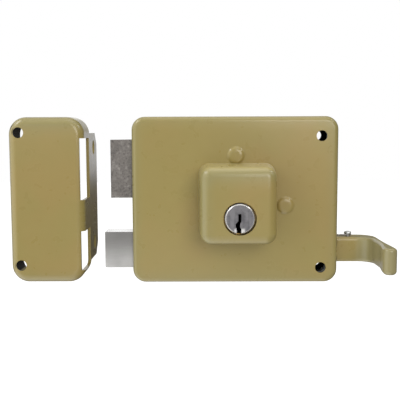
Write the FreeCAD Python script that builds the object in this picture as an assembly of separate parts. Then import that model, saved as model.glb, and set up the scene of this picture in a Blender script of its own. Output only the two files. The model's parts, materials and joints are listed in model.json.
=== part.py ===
"""Rim door lock with a pull handle, and its keep, in millimetres.

X runs from the bolts to the handle, Y runs from the room into the door and Z
runs up. The origin is the middle of the case's back, on the face of the door.
"""
import FreeCAD, Part
import math
import os

from FreeCAD import Vector

os.makedirs("parts", exist_ok=True)

# Case: a pressed cover over a flat back plate
CASE_W = 100.0
CASE_H = 81.0
CASE_D = 19.5
CASE_CORNER = 6.4
CASE_EDGE = 2.4
SHEET = 1.5
PLATE_T = 1.6
PLATE_GAP = 0.25
HALF_W = CASE_W / 2.0
HALF_H = CASE_H / 2.0
FRONT = -CASE_D
INNER_FRONT = FRONT + SHEET
PLATE_FRONT = -PLATE_T
PLATE_LEFT = -HALF_W + SHEET + PLATE_GAP
PLATE_LOW = -HALF_H + SHEET + PLATE_GAP

# Screw holes through cover and plate on the handle side
SCREW_R = 2.6
SCREW_SIDE = 8.2
SCREW_TOP = 9.4
SCREW_LOW = 7.4
SCREW_X = HALF_W - SCREW_SIDE
SCREW_TOP_Z = HALF_H - SCREW_TOP
SCREW_LOW_Z = -HALF_H + SCREW_LOW

# Lips that go round the edge of the door and of the jamb
LIP_REACH = 24.0
LIP_HALF_H = 32.5
LIP_CHAMFER = 6.0
LIP_HOLE_R = 2.4
LIP_SINK_R = 3.7
LIP_SINK_DEPTH = 1.3
LIP_HOLE_Y = 13.0
LIP_HOLE_Z = 25.0

# Latch bolt and dead bolt
BOLT_FRONT_Y = -15.0
BOLT_T = 10.5
BOLT_EDGE = 0.5
BOLT_GAP = 0.5
BOLT_REAR_Y = BOLT_FRONT_Y + BOLT_T
BOLT_MID_Y = BOLT_FRONT_Y + BOLT_T / 2.0
LATCH_H = 28.4
LATCH_TOP = 11.1
LATCH_TOP_Z = HALF_H - LATCH_TOP
LATCH_LOW_Z = LATCH_TOP_Z - LATCH_H
LATCH_OUT = 10.7
LATCH_TRAVEL = 10.3
LATCH_L = 26.7
LATCH_NOSE_T = 2.2
LATCH_TIP = -HALF_W - LATCH_OUT
LATCH_HEEL = LATCH_TIP + LATCH_L
DEAD_H = 17.8
DEAD_LOW = 6.8
DEAD_LOW_Z = -HALF_H + DEAD_LOW
DEAD_TOP_Z = DEAD_LOW_Z + DEAD_H
DEAD_OUT = 14.0
DEAD_TRAVEL = 13.0
DEAD_L = 34.0
DEAD_TIP = -HALF_W - DEAD_OUT
DEAD_HEEL = DEAD_TIP + DEAD_L

# Sheet tails on the bolts and the posts that they run on
TAIL_T = 2.5
TAIL_GRIP = 10.0
TAIL_FRONT = BOLT_REAR_Y - TAIL_T
TAIL_RIVET_R = 1.4
TAIL_RIVET_DEPTH = 3.5
POST_R = 2.0
POST_HEAD_R = 3.2
SLOT_GAP = 0.2
RAIL_Z = 10.0
RAIL_W = 9.0
DEAD_TAIL_END = 7.5
DETENT_X = -7.0
GUIDE_LEFT = -12.0
GUIDE_SIDE = 30.0
GUIDE_LOW_X = -2.0
GUIDE_LOW = 7.2
GUIDES = ((GUIDE_LEFT, RAIL_Z), (HALF_W - GUIDE_SIDE, RAIL_Z), (GUIDE_LOW_X, DEAD_LOW_Z + GUIDE_LOW))

# Cylinder and its square boss
AXIS_X = 1.5
AXIS_Z = -6.7
BOSS_X = 0.95
BOSS_Z = -0.95
BOSS_W = 37.5
BOSS_H = 38.1
BOSS_RISE = 19.0
BOSS_DRAFT = 1.2
BOSS_CORNER = 5.4
BOSS_EDGE = 4.4
BOSS_FRONT = FRONT - BOSS_RISE
FLANGE_T = 2.5
FLANGE_RIM = 3.5
FLANGE_REAR = INNER_FRONT + FLANGE_T
RIVET_R = 3.5
RIVET_SHANK_R = 2.3
RIVET_RISE = 1.0
RIVET_TOP = 3.65
RIVET_SIDE = 4.7
RIVET_TOP_X = 0.4
RIVET_TOP_Z = BOSS_Z + BOSS_H / 2.0 + RIVET_TOP
RIVET_SIDE_X = BOSS_X + BOSS_W / 2.0 + RIVET_SIDE
RIVET_SIDE_Z = -2.5
RING_R = 7.7
FACE_T = 3.4
PLUG_R = 7.1
PLUG_GAP = 0.05
PLUG_BEVEL = 0.6
PLUG_PROUD = 0.2
BODY_R = 9.6
STACK_W = 10.0
STACK_TOP = 20.2
CAVITY_GAP = 0.15
EAR_REACH = 13.4
EAR_R = 3.4
EAR_T = 2.0
EAR_SCREW_R = 1.5
BODY_PLAY = 0.1
BODY_FRONT = BOSS_FRONT + FACE_T + BODY_PLAY
BODY_REAR = -13.5
PLUG_STUB = 1.7
PLUG_REAR = BODY_REAR + PLUG_STUB

# Pins over the plug
PIN_COUNT = 5
PIN_PITCH = 3.6
PIN_FIRST = 2.7
PIN_FIRST_Y = BODY_FRONT + PIN_FIRST
PIN_R = 1.4
PIN_GAP = 0.06
DRIVER_L = 4.0
COVER_T = 1.2
COVER_W = 4.4
KEY_PIN_LENGTHS = (3.2, 4.2, 3.6, 4.6, 3.4)

# Cam that throws the dead bolt
CAM_R = 7.5
CAM_FRONT = -10.0
CAM_T = 2.7
CAM_REAR = CAM_FRONT + CAM_T
CAM_WEB = 1.5
HUB_R = 5.5
HUB_GAP = 0.08
CAM_PIN_R = 2.0
CAM_ARM = 9.8
CAM_SWING = 2.0 * math.degrees(math.asin(DEAD_TRAVEL / 2.0 / CAM_ARM))
NOTCH_GAP = 0.4
BLADE_W = 6.8
BLADE_T = 1.6
BLADE_GAP = 0.12

# Handle
ARM_FRONT_Y = -14.0
ARM_REAR_Y = -3.2
ARM_H = 12.3
ARM_LOW = 9.1
ARM_LOW_Z = -HALF_H + ARM_LOW
ARM_TOP_Z = ARM_LOW_Z + ARM_H
ARM_GAP = 0.8
ARM_START = HALF_W + ARM_GAP
HOOK_REACH = 22.0
HOOK_X = HALF_W + HOOK_REACH
HOOK_TIP_Y = -48.6
HOOK_IN_R = 7.0
HOOK_OUT_R = 9.5
HOOK_WALL = 4.3
HOOK_BULB = 6.2
HOOK_EDGE = 1.6
HOOK_LOW_EDGE = 1.8
TONGUE_T = 6.0
TONGUE_REAR_Y = ARM_FRONT_Y + TONGUE_T
TONGUE_H = 5.3
TONGUE_DROP = 4.5
TONGUE_TOP_Z = ARM_TOP_Z - TONGUE_DROP
TONGUE_LOW_Z = TONGUE_TOP_Z - TONGUE_H
TONGUE_MID_Z = (TONGUE_TOP_Z + TONGUE_LOW_Z) / 2.0
TONGUE_L = 28.0
TONGUE_END_X = HALF_W - TONGUE_L
LEG_LEFT = TONGUE_END_X
LEG_W = 8.0
DRIVE_R = 2.0
DRIVE_X = LEG_LEFT + LEG_W / 2.0
HANDLE_PIN_OUT = 7.0
HANDLE_PIN_X = HALF_W + HANDLE_PIN_OUT
HANDLE_PIN_Y = -8.6
HANDLE_PIN_DEPTH = 5.0
HANDLE_PIN_R = 0.9
HANDLE_NECK = 1.25
HANDLE_HEAD_R = 1.85
HANDLE_HEAD_T = 1.1

# Keep
KEEP_APART = 23.2
KEEP_RIGHT = -HALF_W - KEEP_APART
KEEP_W = 36.6
KEEP_CORNER = 8.5
KEEP_EDGE = 4.0
KEEP_WINDOW_REAR = -1.8
KEEP_WINDOW_OVER = 0.6
KEEP_WINDOW_CUT = SHEET + KEEP_WINDOW_OVER
KEEP_WINDOW_GAP = 0.8
KEEP_HOLE_SIDE = 5.2
KEEP_HOLE_TOP = 7.5
KEEP_HOLE_LOW = 8.7
KEEP_HOLE_X = KEEP_RIGHT - KEEP_W + KEEP_HOLE_SIDE
KEEP_HOLE_TOP_Z = HALF_H - KEEP_HOLE_TOP
KEEP_HOLE_LOW_Z = -HALF_H + KEEP_HOLE_LOW

# Pillars between cover and back plate
PILLAR_R = 2.5
PILLAR_THREAD_R = 1.25
PILLAR_SINK_R = 3.1
PILLAR_LEFT = 6.5
PILLAR_RIGHT = 17.0
PILLAR_TOP = 5.8
PILLAR_LOW = 5.1
PILLARS = ((-HALF_W + PILLAR_LEFT, HALF_H - PILLAR_TOP),
           (-HALF_W + PILLAR_LEFT, (LATCH_LOW_Z + DEAD_TOP_Z) / 2.0),
           (HALF_W - PILLAR_RIGHT, -HALF_H + PILLAR_LOW),
           (HALF_W - PILLAR_RIGHT, HALF_H - PILLAR_TOP))

# Springs
WIRE = 0.8
LATCH_COIL_R = 3.1
LATCH_COIL_TURNS = 8
LATCH_SPRING_FORE = 1.4
LATCH_SPRING_DROP = 7.4
LATCH_SPRING_Y = BOLT_MID_Y - LATCH_SPRING_FORE
LATCH_SPRING_Z = LATCH_TOP_Z - LATCH_SPRING_DROP
LATCH_ROD_R = 1.7
LATCH_BORE_R = 2.2
LATCH_BORE = 16.0
STOP_X = -9.0
HANDLE_COIL_R = 1.9
HANDLE_COIL_TURNS = 10
HANDLE_COIL_SIDE = 4.0
HANDLE_COIL_END = HALF_W - HANDLE_COIL_SIDE
WIRE_LIFT = 0.7
WIRE_Z = ARM_TOP_Z + WIRE_LIFT
SPRING_POST_SIDE = 24.4
SPRING_POST_X = HALF_W - SPRING_POST_SIDE
SPRING_POST_R = 1.2
LOOP_GAP = 0.08
POST_LOOP = SPRING_POST_R + WIRE / 2 + LOOP_GAP
PIN_LOOP = HANDLE_PIN_R + WIRE / 2 + LOOP_GAP
SPRING_AXIS_Y = HANDLE_PIN_Y - PIN_LOOP
FINE_WIRE = 0.35
SHELF_X = 14.0
SHELF_W = 8.0
SHELF_RISE = 0.4
SHELF_Z = PLATE_LOW + SHELF_RISE
LEAF_T = 0.5
LEAF_RIVET_X = SHELF_X + SHELF_W / 2.0
LEAF_RIVET_Y = -6.0
LEAF_RIVET_R = 1.2


def save(name, shape):
    shape.exportStep("parts/" + name + ".step")
    print(name, len(shape.Solids), round(shape.Volume, 1), shape.isValid())


def join(shapes):
    whole = shapes[0]
    for piece in shapes[1:]:
        whole = whole.fuse(piece)
    return whole.removeSplitter()


def group(shapes):
    return Part.makeCompound(shapes)


def box(x0, x1, y0, y1, z0, z1):
    return Part.makeBox(x1 - x0, y1 - y0, z1 - z0, Vector(x0, y0, z0))


def rod_x(x0, x1, y, z, r):
    return Part.makeCylinder(r, x1 - x0, Vector(x0, y, z), Vector(1, 0, 0))


def rod_y(y0, y1, x, z, r):
    return Part.makeCylinder(r, y1 - y0, Vector(x, y0, z), Vector(0, 1, 0))


def rod_z(z0, z1, x, y, r):
    return Part.makeCylinder(r, z1 - z0, Vector(x, y, z0), Vector(0, 0, 1))


def cone_y(y0, y1, x, z, r0, r1):
    return Part.makeCone(r0, r1, y1 - y0, Vector(x, y0, z), Vector(0, 1, 0))


def cone_x(x0, x1, y, z, r0, r1):
    return Part.makeCone(r0, r1, x1 - x0, Vector(x0, y, z), Vector(1, 0, 0))


def rounded_wire(x0, x1, z0, z1, r, y):
    """A rectangle with round corners, drawn in the plane at depth y."""
    k = r * (1.0 - math.sqrt(0.5))
    p = [Vector(x0 + r, y, z0), Vector(x1 - r, y, z0), Vector(x1 - k, y, z0 + k),
         Vector(x1, y, z0 + r), Vector(x1, y, z1 - r), Vector(x1 - k, y, z1 - k),
         Vector(x1 - r, y, z1), Vector(x0 + r, y, z1), Vector(x0 + k, y, z1 - k),
         Vector(x0, y, z1 - r), Vector(x0, y, z0 + r), Vector(x0 + k, y, z0 + k)]
    edges = []
    for i in range(0, 12, 3):
        edges.append(Part.makeLine(p[i], p[i + 1]))
        edges.append(Part.Arc(p[i + 1], p[i + 2], p[(i + 3) % 12]).toShape())
    return Part.Wire(edges)


def rounded_slab(x0, x1, y0, y1, z0, z1, r):
    return Part.Face(rounded_wire(x0, x1, z0, z1, r, y0)).extrude(Vector(0, y1 - y0, 0))


def outline_slab(points, y0, y1):
    """A flat sheet piece cut to an outline of (x, z) points."""
    p = [Vector(x, y0, z) for x, z in points]
    return Part.Face(Part.makePolygon(p + [p[0]])).extrude(Vector(0, y1 - y0, 0))


def edges_where(shape, test):
    return [e for e in shape.Edges if test(e.BoundBox)]


def flat_at(axis, value, tol=0.01):
    low = axis + "Min"
    high = axis + "Max"

    def test(b):
        return abs(getattr(b, low) - value) < tol and abs(getattr(b, high) - value) < tol
    return test


def along(shape, axis):
    """The straight edges of a shape that run along one axis."""
    found = []
    for e in shape.Edges:
        b = e.BoundBox
        size = {"X": b.XLength, "Y": b.YLength, "Z": b.ZLength}
        length = size.pop(axis)
        if length > 0.5 and max(size.values()) < 0.01:
            found.append(e)
    return found


def pressed_form(x0, x1, z0, z1, front, rear, corner, edge):
    """A slab with round corners and a rounded front edge."""
    form = rounded_slab(x0, x1, front, rear, z0, z1, corner)
    return form.makeFillet(edge, edges_where(form, flat_at("Y", front)))


def pressed_tray(x0, x1, corner, edge):
    """A tray of sheet, open to the rear, as high as the case."""
    outer = pressed_form(x0, x1, -HALF_H, HALF_H, FRONT, 0.0, corner, edge)
    room = pressed_form(x0 + SHEET, x1 - SHEET, -HALF_H + SHEET, HALF_H - SHEET, INNER_FRONT, 0.0,
                        corner - SHEET, edge - SHEET)
    return outer.cut(room)


def slot_x(x0, x1, z, r, y0, y1):
    """A long hole along X with round ends whose middles are x0 and x1."""
    return rounded_slab(x0 - r, x1 + r, y0, y1, z - r, z + r, r * 0.999)


def arc_path(points):
    """A smooth path through (point, middle point) pairs, as one wire of arcs."""
    edges = []
    for i in range(0, len(points) - 2, 2):
        edges.append(Part.Arc(points[i], points[i + 1], points[i + 2]).toShape())
    return edges


def coil_points(r, pitch, turns, steps, place):
    """Points along a helix; place turns (along, across, up) into the frame."""
    count = int(round(turns * steps)) * 2
    out = []
    for i in range(count + 1):
        a = math.pi * i / steps
        out.append(place(pitch * a / (2.0 * math.pi), r * math.cos(a), r * math.sin(a)))
    return out


def tube(edges, r):
    """A wire of one thickness swept along a path."""
    path = Part.Wire(edges)
    start = edges[0].valueAt(edges[0].FirstParameter)
    heading = edges[0].tangentAt(edges[0].FirstParameter)
    ring = Part.Wire([Part.makeCircle(r, start, heading)])
    return path.makePipeShell([ring], True, True)


# Case cover: a pressed tray with all its openings
def case_cover():
    cover = pressed_tray(-HALF_W, HALF_W, CASE_CORNER, CASE_EDGE)
    cuts = [box(-HALF_W - 1, -HALF_W + 3, BOLT_FRONT_Y - BOLT_GAP, BOLT_REAR_Y + BOLT_GAP,
                LATCH_LOW_Z - BOLT_GAP, LATCH_TOP_Z + BOLT_GAP),
            box(-HALF_W - 1, -HALF_W + 3, BOLT_FRONT_Y - BOLT_GAP, BOLT_REAR_Y + BOLT_GAP,
                DEAD_LOW_Z - BOLT_GAP, DEAD_TOP_Z + BOLT_GAP),
            box(HALF_W - 3, HALF_W + 1, ARM_FRONT_Y - BOLT_GAP, TONGUE_REAR_Y + BOLT_GAP,
                TONGUE_LOW_Z - BOLT_GAP, WIRE_Z + WIRE + BOLT_GAP)]
    for z in (SCREW_TOP_Z, SCREW_LOW_Z):
        cuts.append(rod_y(FRONT - 1, INNER_FRONT + 1, SCREW_X, z, SCREW_R))
    cuts.append(rounded_slab(BOSS_X - BOSS_W / 2, BOSS_X + BOSS_W / 2, FRONT - 1, INNER_FRONT + 1,
                             BOSS_Z - BOSS_H / 2, BOSS_Z + BOSS_H / 2, BOSS_CORNER))
    for x, z in ((RIVET_TOP_X, RIVET_TOP_Z), (RIVET_SIDE_X, RIVET_SIDE_Z)):
        cuts.append(rod_y(FRONT - 1, INNER_FRONT + 1, x, z, RIVET_SHANK_R))
    for cut in cuts:
        cover = cover.cut(cut)
    return cover


# Boss: a drafted square casting with a riveted flange behind the cover
def pear(y0, y1, gap):
    """The cylinder's outline: a round part with the pin stack over it."""
    round_part = rod_y(y0, y1, AXIS_X, AXIS_Z, BODY_R + gap)
    stack = box(AXIS_X - STACK_W / 2 - gap, AXIS_X + STACK_W / 2 + gap, y0, y1,
                AXIS_Z, AXIS_Z + STACK_TOP + gap)
    return join([round_part, stack])


def boss_housing():
    w, h, d = BOSS_W / 2, BOSS_H / 2, BOSS_DRAFT
    base = rounded_wire(BOSS_X - w, BOSS_X + w, BOSS_Z - h, BOSS_Z + h, BOSS_CORNER, FRONT)
    top = rounded_wire(BOSS_X - w + d, BOSS_X + w - d, BOSS_Z - h + d, BOSS_Z + h - d,
                       BOSS_CORNER - d * 0.3, BOSS_FRONT)
    raised = Part.makeLoft([base, top], True, True)
    raised = raised.makeFillet(BOSS_EDGE, edges_where(raised, flat_at("Y", BOSS_FRONT)))
    neck = Part.Face(base).extrude(Vector(0, SHEET, 0))
    rim = FLANGE_RIM
    flange = rounded_slab(BOSS_X - w - rim, BOSS_X + w + rim, INNER_FRONT, FLANGE_REAR,
                          BOSS_Z - h - rim, BOSS_Z + h + rim, BOSS_CORNER + 1)
    ears = [rounded_slab(RIVET_TOP_X - 6, RIVET_TOP_X + 6, INNER_FRONT, FLANGE_REAR,
                         BOSS_Z, RIVET_TOP_Z + 5.6, 4),
            rounded_slab(BOSS_X, RIVET_SIDE_X + 5.6, INNER_FRONT, FLANGE_REAR,
                         RIVET_SIDE_Z - 6, RIVET_SIDE_Z + 6, 4)]
    body = join([raised, neck, flange] + ears)
    body = body.cut(pear(BOSS_FRONT + FACE_T, FLANGE_REAR + 1, CAVITY_GAP))
    body = body.cut(rod_y(BOSS_FRONT - 1, BOSS_FRONT + FACE_T + 1, AXIS_X, AXIS_Z, RING_R))
    for x, z in ((RIVET_TOP_X, RIVET_TOP_Z), (RIVET_SIDE_X, RIVET_SIDE_Z)):
        body = body.cut(rod_y(INNER_FRONT - 1, FLANGE_REAR + 1, x, z, RIVET_SHANK_R))
    for side in (-1, 1):
        body = body.cut(rod_y(FLANGE_REAR - 7, FLANGE_REAR + 1, AXIS_X + side * EAR_REACH, AXIS_Z,
                              EAR_SCREW_R))
    return body


def boss_rivets():
    """Low round heads outside the cover, closed over behind the flange."""
    out = []
    for x, z in ((RIVET_TOP_X, RIVET_TOP_Z), (RIVET_SIDE_X, RIVET_SIDE_Z)):
        head = rod_y(FRONT - RIVET_RISE, FRONT, x, z, RIVET_R)
        head = head.makeFillet(RIVET_RISE * 0.9, edges_where(head, flat_at("Y", FRONT - RIVET_RISE)))
        shank = rod_y(FRONT, FLANGE_REAR, x, z, RIVET_SHANK_R)
        tail = cone_y(FLANGE_REAR, FLANGE_REAR + 0.8, x, z, RIVET_SHANK_R + 1.0, RIVET_SHANK_R)
        out.append(join([head, shank, tail]))
    return group(out)


# Back plate: a blank with a bent lip, tabs for the springs and its holes
def back_plate():
    x0, x1 = PLATE_LEFT, -PLATE_LEFT
    z0, z1 = PLATE_LOW, -PLATE_LOW
    plate = rounded_slab(x0, x1, PLATE_FRONT, 0.0, z0, z1, CASE_CORNER - SHEET - PLATE_GAP)
    lip = bent_lip(x0, x0 + PLATE_T, PLATE_FRONT)
    stop = box(STOP_X, STOP_X + PLATE_T, LATCH_SPRING_Y - LATCH_COIL_R, PLATE_FRONT,
               LATCH_SPRING_Z - LATCH_COIL_R - 1.9, LATCH_SPRING_Z + LATCH_COIL_R + 1.9)
    shelf = box(SHELF_X, SHELF_X + SHELF_W, LEAF_RIVET_Y - 3.0, PLATE_FRONT, SHELF_Z, SHELF_Z + PLATE_T)
    plate = join([plate, lip, stop, shelf])
    bend = PLATE_T * 1.2
    corner = box(x0 - 1, x0 + bend, PLATE_FRONT - 1, PLATE_FRONT + bend, -LIP_HALF_H, LIP_HALF_H)
    plate = plate.cut(corner.cut(rod_z(-HALF_H, HALF_H, x0 + bend, PLATE_FRONT + bend, bend)))
    for z in (SCREW_TOP_Z, SCREW_LOW_Z):
        plate = plate.cut(rod_y(-5, 5, SCREW_X, z, SCREW_R))
    plate = plate.cut(rod_y(-5, 5, AXIS_X, AXIS_Z, HUB_R + HUB_GAP))
    for x, z in PILLARS:
        plate = plate.cut(cone_y(PLATE_FRONT, 0.0, x, z, 1.5, PILLAR_SINK_R))
    for x, z in GUIDES:
        plate = plate.cut(rod_y(-5, 5, x, z, POST_R * 0.75))
    plate = plate.cut(rod_x(STOP_X - 1, STOP_X + PLATE_T + 1, LATCH_SPRING_Y, LATCH_SPRING_Z,
                            LATCH_ROD_R - 0.5))
    plate = plate.cut(rod_z(z0 - 1, z0 + 5, LEAF_RIVET_X, LEAF_RIVET_Y, LEAF_RIVET_R))
    for cut in lip_cuts(x0 + PLATE_T, x0):
        plate = plate.cut(cut)
    return plate


def bent_lip(x0, x1, y_start):
    """A lip that goes back round an edge, with two countersunk holes."""
    c = LIP_CHAMFER
    outline = [(y_start, -LIP_HALF_H), (LIP_REACH - c, -LIP_HALF_H), (LIP_REACH, -LIP_HALF_H + c),
               (LIP_REACH, LIP_HALF_H - c), (LIP_REACH - c, LIP_HALF_H), (y_start, LIP_HALF_H)]
    p = [Vector(x0, y, z) for y, z in outline]
    lip = Part.Face(Part.makePolygon(p + [p[0]])).extrude(Vector(x1 - x0, 0, 0))
    return lip


def lip_cuts(x_in, x_out):
    """Countersunk holes whose wide end is at x_out."""
    out = []
    for z in (-LIP_HOLE_Z, LIP_HOLE_Z):
        low, high = min(x_in, x_out), max(x_in, x_out)
        out.append(rod_x(low - 1, high + 1, LIP_HOLE_Y, z, LIP_HOLE_R))
        if x_out > x_in:
            out.append(cone_x(high - LIP_SINK_DEPTH, high, LIP_HOLE_Y, z, LIP_HOLE_R, LIP_SINK_R))
        else:
            out.append(cone_x(low, low + LIP_SINK_DEPTH, LIP_HOLE_Y, z, LIP_SINK_R, LIP_HOLE_R))
    return out


def guide_posts():
    """Headed posts, staked in the back plate, that the bolt tails run on."""
    out = []
    for x, z in GUIDES:
        post = rod_y(TAIL_FRONT - 0.3, PLATE_FRONT, x, z, POST_R)
        head = cone_y(TAIL_FRONT - 1.5, TAIL_FRONT - 0.3, x, z, POST_R, POST_HEAD_R)
        foot = rod_y(PLATE_FRONT, 0.0, x, z, POST_R * 0.75)
        out.append(join([post, head, foot]))
    return group(out)


def pillars():
    """Threaded pillars welded inside the cover."""
    out = []
    for x, z in PILLARS:
        one = rod_y(INNER_FRONT, PLATE_FRONT, x, z, PILLAR_R)
        out.append(one.cut(rod_y(PLATE_FRONT - 7, PLATE_FRONT + 1, x, z, PILLAR_THREAD_R)))
    return group(out)


def plate_screws():
    """Countersunk cross-head screws from the back into the pillars."""
    out = []
    for x, z in PILLARS:
        head = cone_y(PLATE_FRONT, 0.0, x, z, 1.5, PILLAR_SINK_R)
        shank = rod_y(PLATE_FRONT - 6, PLATE_FRONT, x, z, PILLAR_THREAD_R)
        one = join([head, shank])
        for w, h in ((0.35, 1.5), (1.5, 0.35)):
            one = one.cut(box(x - w, x + w, -0.9, 1, z - h, z + h))
        out.append(one)
    return group(out)


# Cylinder: body, plug, pins and their cover
def pin_rows():
    return [PIN_FIRST_Y + PIN_PITCH * i for i in range(PIN_COUNT)]


def cylinder_body():
    front = BODY_FRONT
    body = pear(front, BODY_REAR, 0.0)
    bar = rounded_slab(AXIS_X - EAR_REACH - EAR_R, AXIS_X + EAR_REACH + EAR_R, FLANGE_REAR,
                       FLANGE_REAR + EAR_T, AXIS_Z - EAR_R, AXIS_Z + EAR_R, EAR_R * 0.98)
    body = join([body, bar])
    body = body.cut(rod_y(front - 1, BODY_REAR + 1, AXIS_X, AXIS_Z, PLUG_R + PLUG_GAP))
    for y in pin_rows():
        body = body.cut(rod_z(AXIS_Z + 3, AXIS_Z + STACK_TOP - COVER_T, AXIS_X, y, PIN_R + PIN_GAP))
    body = body.cut(box(AXIS_X - COVER_W / 2, AXIS_X + COVER_W / 2, front - 1, BODY_REAR + 1,
                        AXIS_Z + STACK_TOP - COVER_T, AXIS_Z + STACK_TOP + 1))
    for side in (-1, 1):
        body = body.cut(rod_y(FLANGE_REAR - 1, FLANGE_REAR + EAR_T + 1,
                              AXIS_X + side * EAR_REACH, AXIS_Z, EAR_SCREW_R + 0.1))
    return body


def chamber_cover():
    """The strip staked over the pin chambers."""
    return box(AXIS_X - COVER_W / 2, AXIS_X + COVER_W / 2, BODY_FRONT, BODY_REAR,
               AXIS_Z + STACK_TOP - COVER_T, AXIS_Z + STACK_TOP)


def cylinder_screws():
    out = []
    rear = FLANGE_REAR + EAR_T
    for side in (-1, 1):
        x = AXIS_X + side * EAR_REACH
        head = rod_y(rear, rear + 1.6, x, AXIS_Z, 2.8)
        head = head.makeFillet(0.6, edges_where(head, flat_at("Y", rear + 1.6)))
        one = join([head, rod_y(FLANGE_REAR - 6, rear, x, AXIS_Z, EAR_SCREW_R)])
        out.append(one.cut(box(x - 0.4, x + 0.4, rear + 0.8, rear + 2, AXIS_Z - 3, AXIS_Z + 3)))
    return group(out)


def plug():
    front = BOSS_FRONT - PLUG_PROUD
    one = rod_y(front, PLUG_REAR, AXIS_X, AXIS_Z, PLUG_R)
    one = one.makeChamfer(PLUG_BEVEL, edges_where(one, flat_at("Y", front)))
    # the keyway steps to one side and back, and runs out at the bottom
    keyway = [(-0.8, 2.3), (0.6, 2.3), (0.6, -1.3), (0.05, -2.1), (0.05, -3.9), (0.6, -4.5), (0.6, -8.0),
              (-1.6, -8.0), (-1.6, -4.5), (-2.0, -3.9), (-2.0, -2.3), (-0.8, -1.0)]
    way = outline_slab([(AXIS_X + x, AXIS_Z + z) for x, z in keyway], front - 1, PLUG_REAR - 4.0)
    one = one.cut(way)
    for y in pin_rows():
        one = one.cut(rod_z(AXIS_Z + 1.0, AXIS_Z + PLUG_R + 1, AXIS_X, y, PIN_R + PIN_GAP))
    groove = rod_y(BODY_REAR + 0.1, BODY_REAR + 0.9, AXIS_X, AXIS_Z, PLUG_R + 1)
    one = one.cut(groove.cut(rod_y(BODY_REAR, BODY_REAR + 1, AXIS_X, AXIS_Z, PLUG_R - 1.0)))
    return one.cut(blade(PLUG_REAR - 3.0, PLUG_REAR + 1))


def blade(y0, y1):
    return box(AXIS_X - BLADE_T / 2, AXIS_X + BLADE_T / 2, y0, y1,
               AXIS_Z - BLADE_W / 2, AXIS_Z + BLADE_W / 2)


def plug_clip():
    """An open spring clip in the plug's groove."""
    y0, y1 = BODY_REAR + 0.1, BODY_REAR + 0.9
    ring = rod_y(y0, y1, AXIS_X, AXIS_Z, PLUG_R + 1.5)
    ring = ring.cut(rod_y(y0 - 1, y1 + 1, AXIS_X, AXIS_Z, PLUG_R - 1.0))
    return ring.cut(box(AXIS_X - 12, AXIS_X, y0 - 1, y1 + 1, AXIS_Z - 4.4, AXIS_Z + 4.4))


def key_pins():
    out = []
    for y, length in zip(pin_rows(), KEY_PIN_LENGTHS):
        top = AXIS_Z + math.sqrt(PLUG_R ** 2 - PIN_R ** 2) - 0.03
        low = top - length
        one = rod_z(low, top, AXIS_X, y, PIN_R)
        out.append(one.makeChamfer(0.7, edges_where(one, flat_at("Z", low))))
    return group(out)


def driver_pins():
    out = []
    for y in pin_rows():
        low = AXIS_Z + PLUG_R + PLUG_GAP
        one = rod_z(low, low + DRIVER_L, AXIS_X, y, PIN_R)
        out.append(one.makeChamfer(0.3, edges_where(one, flat_at("Z", low + DRIVER_L))))
    return group(out)


def pin_springs():
    """A fine compression coil over each driver pin."""
    low = AXIS_Z + PLUG_R + PLUG_GAP + DRIVER_L + FINE_WIRE / 2
    high = AXIS_Z + STACK_TOP - COVER_T - FINE_WIRE / 2
    turns = 6
    out = []
    for y in pin_rows():
        def place(s, a, b, y=y):
            return Vector(AXIS_X + a, y + b, low + s)
        points = coil_points(PIN_R - 0.35, (high - low) / turns, turns, 4, place)
        out.append(tube(arc_path(points), FINE_WIRE / 2))
    return group(out)


# Cam and tail blade
def sector(r, a0, a1, y0, y1):
    """A slice of a disc about the plug's axis, from angle a0 to a1 in degrees."""
    steps = 8
    points = [(AXIS_X, AXIS_Z)]
    for i in range(steps + 1):
        a = math.radians(a0 + (a1 - a0) * i / steps)
        points.append((AXIS_X + r * 1.02 * math.cos(a), AXIS_Z + r * 1.02 * math.sin(a)))
    disc = rod_y(y0, y1, AXIS_X, AXIS_Z, r)
    return disc.common(outline_slab(points, y0, y1))


def cam_pin_place():
    a = math.radians(CAM_SWING / 2.0)
    return AXIS_X - CAM_ARM * math.sin(a), AXIS_Z - CAM_ARM * math.cos(a)


def cam():
    px, pz = cam_pin_place()
    disc = rod_y(CAM_FRONT, CAM_REAR, AXIS_X, AXIS_Z, CAM_R)
    end = rod_y(CAM_FRONT, CAM_REAR, px, pz, CAM_PIN_R + CAM_WEB)
    dx, dz = px - AXIS_X, pz - AXIS_Z
    length = math.hypot(dx, dz)
    nx, nz = -dz / length * (CAM_PIN_R + CAM_WEB), dx / length * (CAM_PIN_R + CAM_WEB)
    web = outline_slab([(AXIS_X + nx, AXIS_Z + nz), (px + nx, pz + nz), (px - nx, pz - nz),
                        (AXIS_X - nx, AXIS_Z - nz)], CAM_FRONT, CAM_REAR)
    hub = rod_y(CAM_REAR, -0.2, AXIS_X, AXIS_Z, HUB_R)
    whole = join([disc, end, web, hub])
    y0, y1 = CAM_FRONT - 1, 1.0
    reach = BLADE_W / 2 + BLADE_GAP
    half = math.degrees(math.asin((BLADE_T / 2 + BLADE_GAP) / reach))
    bow = [sector(reach, 90 - CAM_SWING - half, 90 + half, y0, y1),
           sector(reach, 270 - CAM_SWING - half, 270 + half, y0, y1)]
    for angle in (0.0, CAM_SWING):
        slot = box(AXIS_X - BLADE_T / 2 - BLADE_GAP, AXIS_X + BLADE_T / 2 + BLADE_GAP, y0, y1,
                   AXIS_Z - reach, AXIS_Z + reach)
        slot.rotate(Vector(AXIS_X, 0, AXIS_Z), Vector(0, 1, 0), angle)
        bow.append(slot)
    for piece in bow:
        whole = whole.cut(piece)
    return whole.cut(rod_y(CAM_FRONT - 1, CAM_REAR + 1, px, pz, CAM_PIN_R * 0.75))


def cam_pin():
    px, pz = cam_pin_place()
    pin = rod_y(CAM_REAR, BOLT_REAR_Y + 0.3, px, pz, CAM_PIN_R)
    return join([pin, rod_y(CAM_FRONT, CAM_REAR, px, pz, CAM_PIN_R * 0.75)])


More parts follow.
